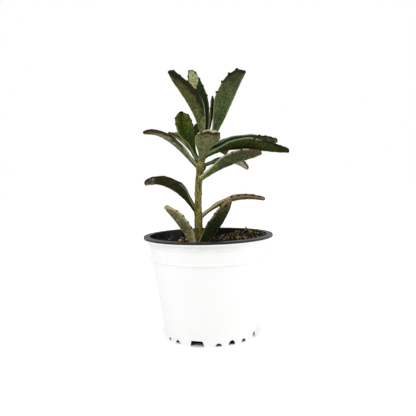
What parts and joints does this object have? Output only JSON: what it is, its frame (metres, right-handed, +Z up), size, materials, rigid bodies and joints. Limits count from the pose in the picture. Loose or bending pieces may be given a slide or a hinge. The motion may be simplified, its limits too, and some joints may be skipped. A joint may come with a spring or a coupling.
{
  "type": "potted kalanchoe",
  "caption": "Young velvet-leaved kalanchoe with folded, toothed leaves on an upright stem, rooted in potting mix in a round white nursery pot with a black lip and a notched foot",
  "frame": {"origin": "middle of the flat pad under the pot, on the surface it stands on", "axes": "+Z up along the pot's axis; +X to the right and +Y away, seen from the front"},
  "size_m": [0.1353, 0.12, 0.2521],
  "materials": {
    "pot": "satin moulded plastic, white outside, black inside and over the lip",
    "soil": "damp peat and bark mix, matt",
    "bark": "dry shredded bark, matt",
    "plant_food": "smooth coated bead, slightly glossy",
    "dead_sprig": "dry, matt",
    "stem": "short velvet over a firm green stem, with pale streaks and leaf scars",
    "leaf": "short velvet over a fleshy green leaf, dark brown along the toothed edge"
  },
  "bodies": {
    "root": {"pot": "pot", "soil": "soil", "bark_chip_1": "bark", "bark_chip_2": "bark", "bark_chip_3": "bark", "bark_chip_4": "bark", "bark_chip_5": "bark", "bark_chip_6": "bark", "bark_chip_7": "bark", "bark_chip_8": "bark", "bark_chip_9": "bark", "bark_chip_10": "bark", "bark_chip_11": "bark", "bark_chip_12": "bark", "food_bead_1": "plant_food", "food_bead_2": "plant_food", "dead_sprig": "dead_sprig", "stem": "stem", "leaf_lowest_left": "leaf", "leaf_lowest_right": "leaf", "leaf_second_left": "leaf", "leaf_second_right": "leaf", "leaf_third_right": "leaf", "bud_third_right": "leaf", "leaf_fourth_left": "leaf", "leaf_fourth_right": "leaf", "leaf_fifth_left": "leaf", "leaf_fifth_front": "leaf", "leaf_fifth_back": "leaf", "leaf_sixth_right": "leaf", "leaf_sixth_back_left": "leaf", "leaf_sixth_back_right": "leaf", "leaf_seventh_right": "leaf", "leaf_top_left": "leaf", "leaf_top_right": "leaf", "leaf_top_back": "leaf", "leaf_young": "leaf"}
  },
  "joints": []
}
